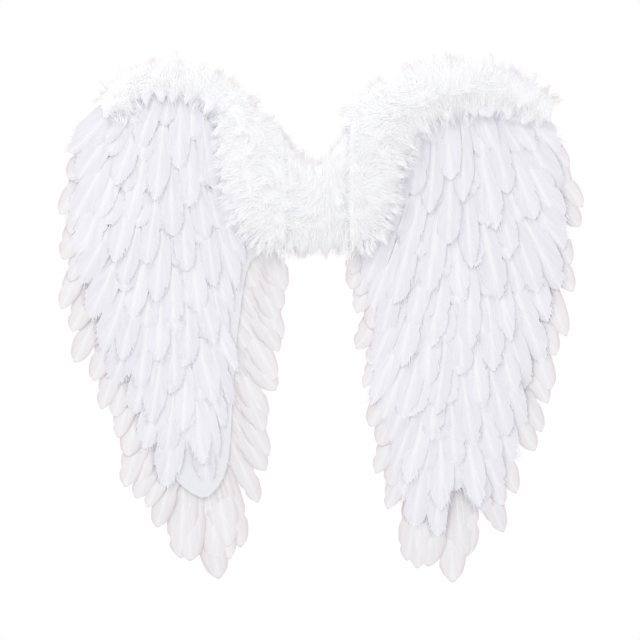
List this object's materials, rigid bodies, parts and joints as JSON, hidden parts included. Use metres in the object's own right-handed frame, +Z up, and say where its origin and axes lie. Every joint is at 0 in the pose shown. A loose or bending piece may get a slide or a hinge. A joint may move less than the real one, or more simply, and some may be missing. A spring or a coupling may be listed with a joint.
{
  "type": "costume angel wings",
  "caption": "Pair of white feathered costume wings on felt-covered boards, joined by a centre panel with down trim and elastic shoulder loops.",
  "frame": {"origin": "middle of the centre panel's rear face, which lies on the wearer's back", "axes": "+Z up along the wearer's back, +Y towards the wearer, the feathered face looks along -Y"},
  "size_m": [0.6502, 0.1759, 0.6664],
  "materials": {
    "feather": "satin",
    "down": "matte",
    "felt": "matte",
    "elastic": "matte"
  },
  "bodies": {
    "root": {"centre_panel": "felt", "centre_down": "down", "left_strap": "elastic", "right_strap": "elastic", "left_board": "felt", "left_covert_1": "feather", "left_covert_2": "feather", "left_covert_3": "feather", "left_covert_4": "feather", "left_covert_5": "feather", "left_covert_6": "feather", "left_covert_7": "feather", "left_covert_8": "feather", "left_covert_9": "feather", "left_covert_10": "feather", "left_covert_11": "feather", "left_down": "down", "left_outer_fringe": "feather", "left_inner_fringe": "feather", "left_tip_fringe": "feather", "right_board": "felt", "right_covert_1": "feather", "right_covert_2": "feather", "right_covert_3": "feather", "right_covert_4": "feather", "right_covert_5": "feather", "right_covert_6": "feather", "right_covert_7": "feather", "right_covert_8": "feather", "right_covert_9": "feather", "right_covert_10": "feather", "right_covert_11": "feather", "right_covert_12": "feather", "right_down": "down", "right_outer_fringe": "feather", "right_inner_fringe": "feather", "right_tip_fringe": "feather"}
  },
  "joints": []
}
